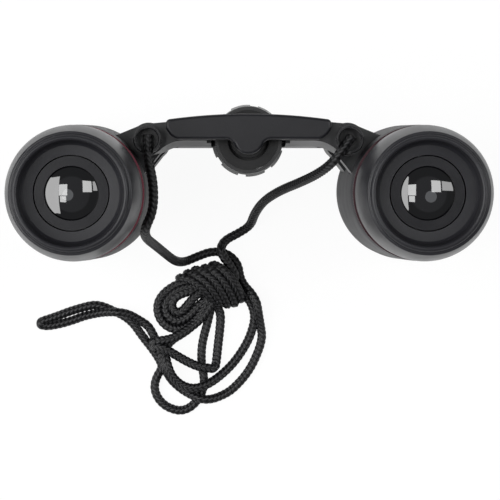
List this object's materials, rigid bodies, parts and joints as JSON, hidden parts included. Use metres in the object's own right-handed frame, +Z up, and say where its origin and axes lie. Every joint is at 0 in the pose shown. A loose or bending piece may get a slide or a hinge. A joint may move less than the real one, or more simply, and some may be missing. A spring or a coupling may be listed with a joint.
{
  "type": "folding binoculars",
  "caption": "Compact folding roof-prism binoculars standing eyepieces up, barrels swung out on a centre-focus bridge, with a braided neck cord.",
  "frame": {"origin": "centre of the box over the object without its cord, on the surface that the objective rims stand on", "axes": "+X to the right barrel, +Y from the barrels towards the bridge, +Z up towards the eyepieces"},
  "size_m": [0.128, 0.0856, 0.0915],
  "materials": {
    "shell_plastic": "black moulded ABS, fine satin grain",
    "armour_rubber": "black moulded rubber skin, low sheen",
    "cell_plastic": "black moulded plastic, matte",
    "lens_glass": "polished optical glass with a coating",
    "prism_glass": "polished optical glass",
    "accent_red": "dark red moulded ring, glossy",
    "eyecup_rubber": "soft black rubber, satin",
    "ocular_plastic": "black moulded plastic, fine concentric turning",
    "lug_plastic": "black moulded plastic, satin",
    "pin_steel": "plain turned steel",
    "frame_plastic": "black moulded ABS, satin",
    "cover_plastic": "dark grey moulded ABS, fine spark grain",
    "wheel_plastic": "black moulded plastic, matte",
    "grip_rubber": "black rubber tyre with raised pads",
    "spindle_brass": "turned brass screw",
    "cord_nylon": "black braided nylon cord"
  },
  "bodies": {
    "bridge": {"bridge_frame": "frame_plastic", "bridge_cover": "cover_plastic", "bridge_plug": "frame_plastic", "cover_screws": "pin_steel", "left_hinge_pin": "lug_plastic", "right_hinge_pin": "lug_plastic", "left_hinge_tube": "pin_steel", "right_hinge_tube": "pin_steel", "cord_left_run": "cord_nylon", "cord_right_run": "cord_nylon", "cord_hank": "cord_nylon", "cord_tail": "cord_nylon"},
    "left_barrel": {"left_barrel_shell": "shell_plastic", "left_barrel_armour": "armour_rubber", "left_objective_bezel": "shell_plastic", "left_prism_cage": "cell_plastic", "left_roof_prism": "prism_glass", "left_drive_cap": "shell_plastic", "left_eyepiece_collar": "shell_plastic", "left_accent_ring": "accent_red", "left_eyecup": "eyecup_rubber", "left_ocular_cell": "ocular_plastic", "left_eye_lens": "lens_glass", "left_field_lens": "lens_glass"},
    "right_barrel": {"right_barrel_shell": "shell_plastic", "right_barrel_armour": "armour_rubber", "right_objective_bezel": "shell_plastic", "right_prism_cage": "cell_plastic", "right_roof_prism": "prism_glass", "right_drive_cap": "shell_plastic"},
    "focus_wheel": {"focus_wheel": "wheel_plastic", "wheel_grip": "grip_rubber", "focus_spindle": "spindle_brass", "spindle_clip": "pin_steel"},
    "focus_carriage": {"focus_yoke": "cell_plastic", "left_drive_rod": "pin_steel", "right_drive_rod": "pin_steel"},
    "left_objective": {"left_objective_cell": "cell_plastic", "left_objective_lens": "lens_glass", "left_objective_retainer": "cell_plastic"},
    "right_objective": {"right_objective_cell": "cell_plastic", "right_objective_lens": "lens_glass", "right_objective_retainer": "cell_plastic"},
    "dioptre_ring": {"right_eyepiece_collar": "shell_plastic", "right_accent_ring": "accent_red", "right_eyecup": "eyecup_rubber"},
    "right_ocular": {"right_ocular_cell": "ocular_plastic", "right_eye_lens": "lens_glass", "right_field_lens": "lens_glass"}
  },
  "joints": [
    {"name": "left_fold", "type": "hinge", "parent": "bridge", "child": "left_barrel", "pos_m": [-0.0265, 0.01165, 0.038], "axis": [0, 0, 1], "range_deg": [0, 70], "deforming": ["cord_left_run", "cord_right_run", "cord_hank", "cord_tail"]},
    {"name": "right_fold", "type": "hinge", "parent": "bridge", "child": "right_barrel", "pos_m": [0.0265, 0.01165, 0.038], "axis": [0, 0, -1], "range_deg": [0, 70], "deforming": ["cord_left_run", "cord_right_run", "cord_hank", "cord_tail"]},
    {"name": "focus_turn", "type": "hinge", "parent": "bridge", "child": "focus_wheel", "pos_m": [0, 0.01165, 0.05], "axis": [0, 0, 1], "range_deg": [-183, 183]},
    {"name": "focus_travel", "type": "slide", "parent": "bridge", "child": "focus_carriage", "axis": [0, 0, 1], "range_m": [-0.0025, 0.0025]},
    {"name": "left_objective_travel", "type": "slide", "parent": "left_barrel", "child": "left_objective", "axis": [0, 0, 1], "range_m": [-0.00255, 0.00255]},
    {"name": "right_objective_travel", "type": "slide", "parent": "right_barrel", "child": "right_objective", "axis": [0, 0, 1], "range_m": [-0.00255, 0.00255]},
    {"name": "dioptre_turn", "type": "hinge", "parent": "right_barrel", "child": "dioptre_ring", "pos_m": [0.045, -0.00235, 0.07], "axis": [0, 0, 1], "range_deg": [-61, 61]},
    {"name": "right_ocular_travel", "type": "slide", "parent": "right_barrel", "child": "right_ocular", "axis": [0, 0, 1], "range_m": [-0.001, 0.001]}
  ],
  "couplings": [
    {"joint": "focus_turn", "follows": "focus_travel", "rad_per_m": -1256.6},
    {"joint": "left_objective_travel", "follows": "focus_travel", "ratio": 1},
    {"joint": "right_objective_travel", "follows": "focus_travel", "ratio": 1},
    {"joint": "dioptre_turn", "follows": "right_ocular_travel", "rad_per_m": 1047.2}
  ]
}
